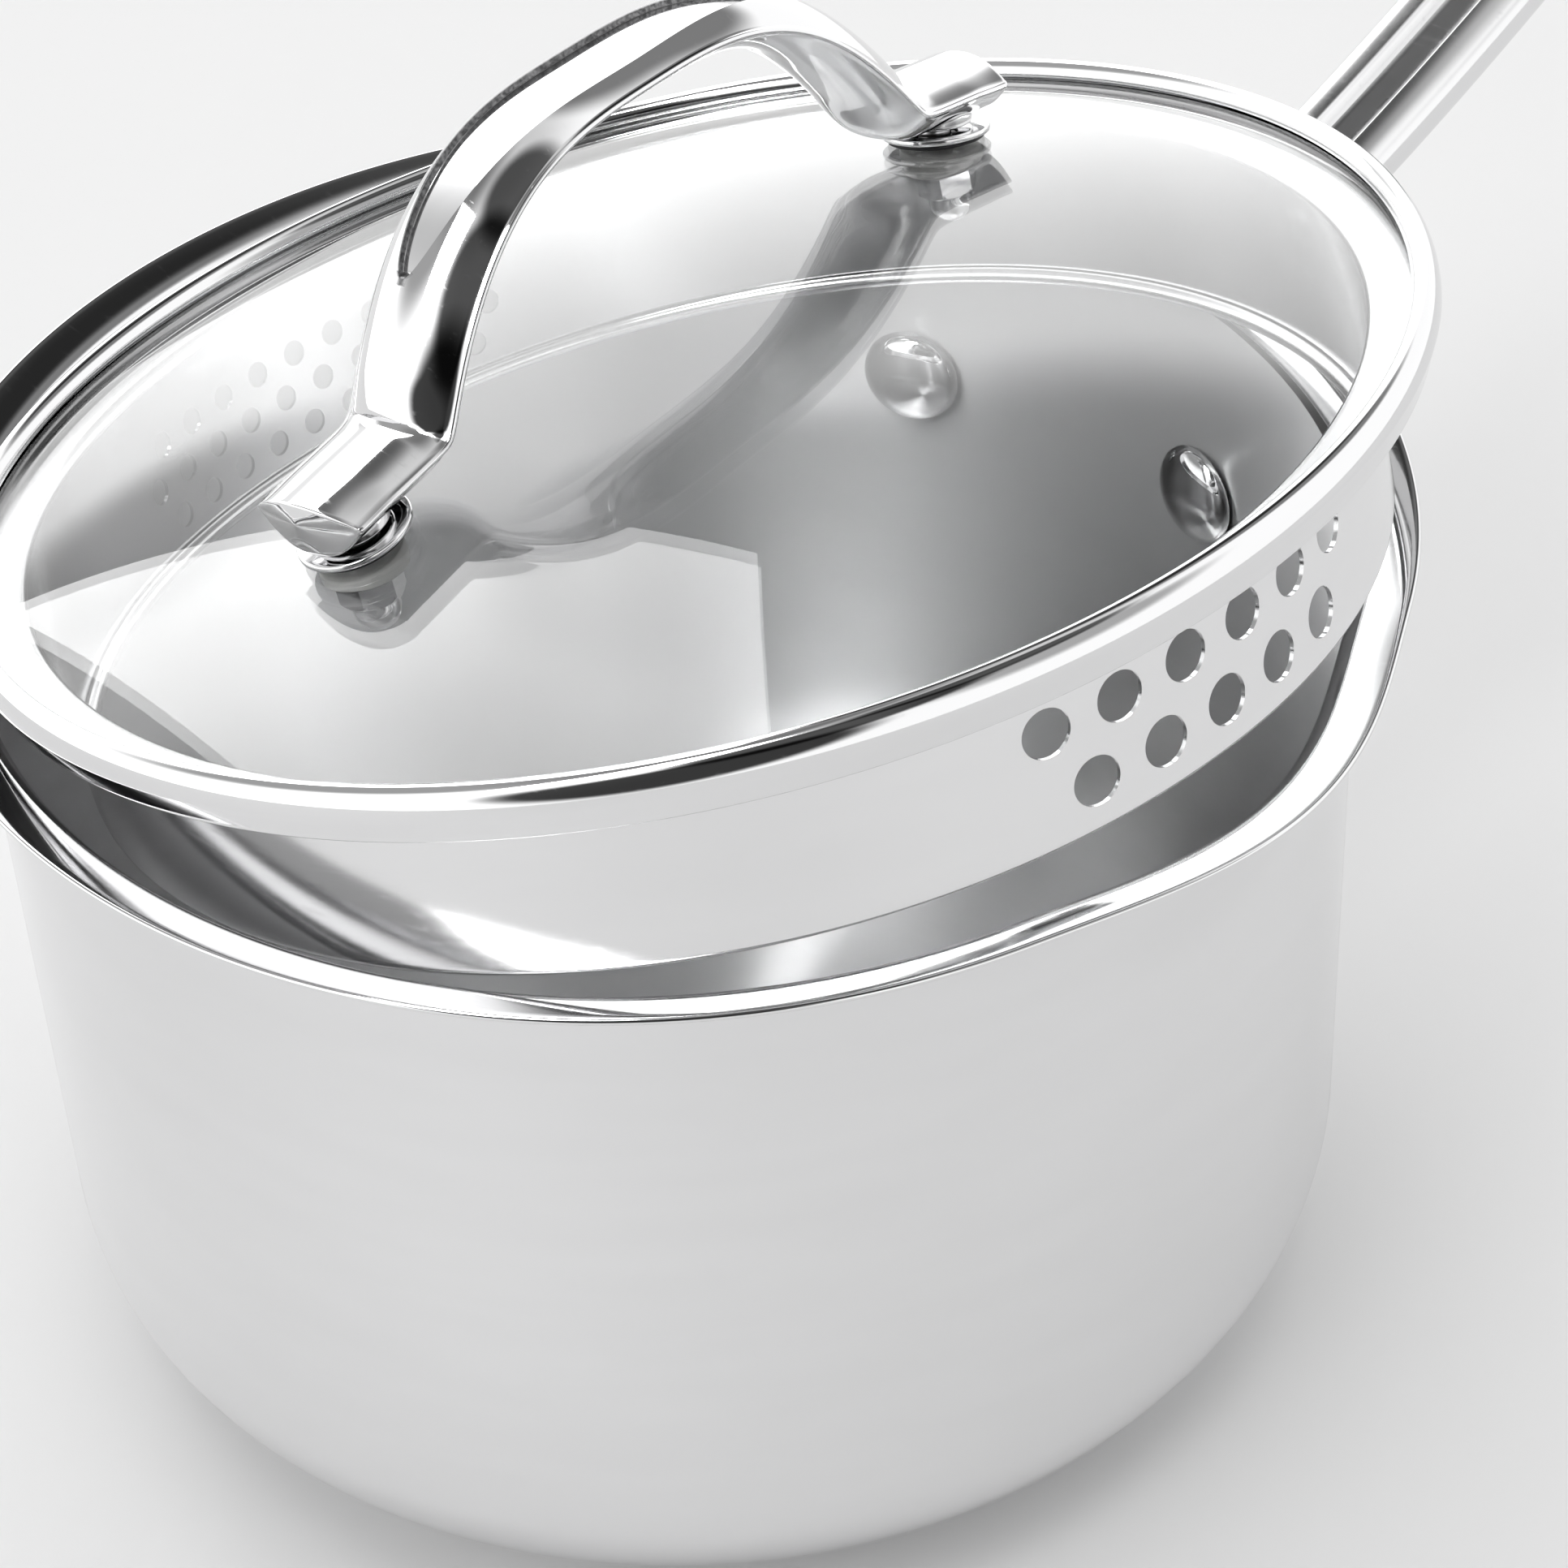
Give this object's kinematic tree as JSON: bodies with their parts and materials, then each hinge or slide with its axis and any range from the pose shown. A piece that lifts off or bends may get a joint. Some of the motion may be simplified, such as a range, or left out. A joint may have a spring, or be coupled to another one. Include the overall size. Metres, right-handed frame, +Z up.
{
  "type": "straining saucepan",
  "caption": "Single-handled steel pot with a flared lip and a pouring spout, and a domed glass lid on a perforated straining skirt that stands ajar on the rim.",
  "frame": {"origin": "middle of the base, on the surface that the pot stands on", "axes": "+Z up, +X along the long handle away from the pot, the spout at -Y"},
  "size_m": [0.3882, 0.2208, 0.2076],
  "materials": {
    "pot_steel": "polished outside, brushed in circles inside",
    "base_aluminium": "plain rolled",
    "base_steel": "turned",
    "handle_steel": "polished casting",
    "rivet_steel": "polished",
    "rim_steel": "mirror polished",
    "strainer_steel": "satin",
    "lid_glass": "clear, polished",
    "lid_handle_steel": "mirror polished casting",
    "ring_steel": "polished",
    "gasket_rubber": "matt",
    "pad_rubber": "matt translucent",
    "nut_steel": "polished",
    "stud_steel": "plain"
  },
  "bodies": {
    "pot": {"pot_shell": "pot_steel", "base_core": "base_aluminium", "base_cap": "base_steel", "pot_handle": "handle_steel", "rivet_left": "rivet_steel", "rivet_right": "rivet_steel"},
    "lid": {"lid_rim": "rim_steel", "strainer_band": "strainer_steel", "glass_pane": "lid_glass", "lid_handle": "lid_handle_steel", "foot_ring_near": "ring_steel", "foot_gasket_near": "gasket_rubber", "nut_pad_near": "pad_rubber", "cap_nut_near": "nut_steel", "foot_stud_near": "stud_steel", "foot_ring_far": "ring_steel", "foot_gasket_far": "gasket_rubber", "nut_pad_far": "pad_rubber", "cap_nut_far": "nut_steel", "foot_stud_far": "stud_steel"}
  },
  "joints": [
    {"name": "lid_lift", "type": "slide", "parent": "pot", "child": "lid", "axis": [0, 0, 1], "range_m": [0, 0.12]}
  ]
}
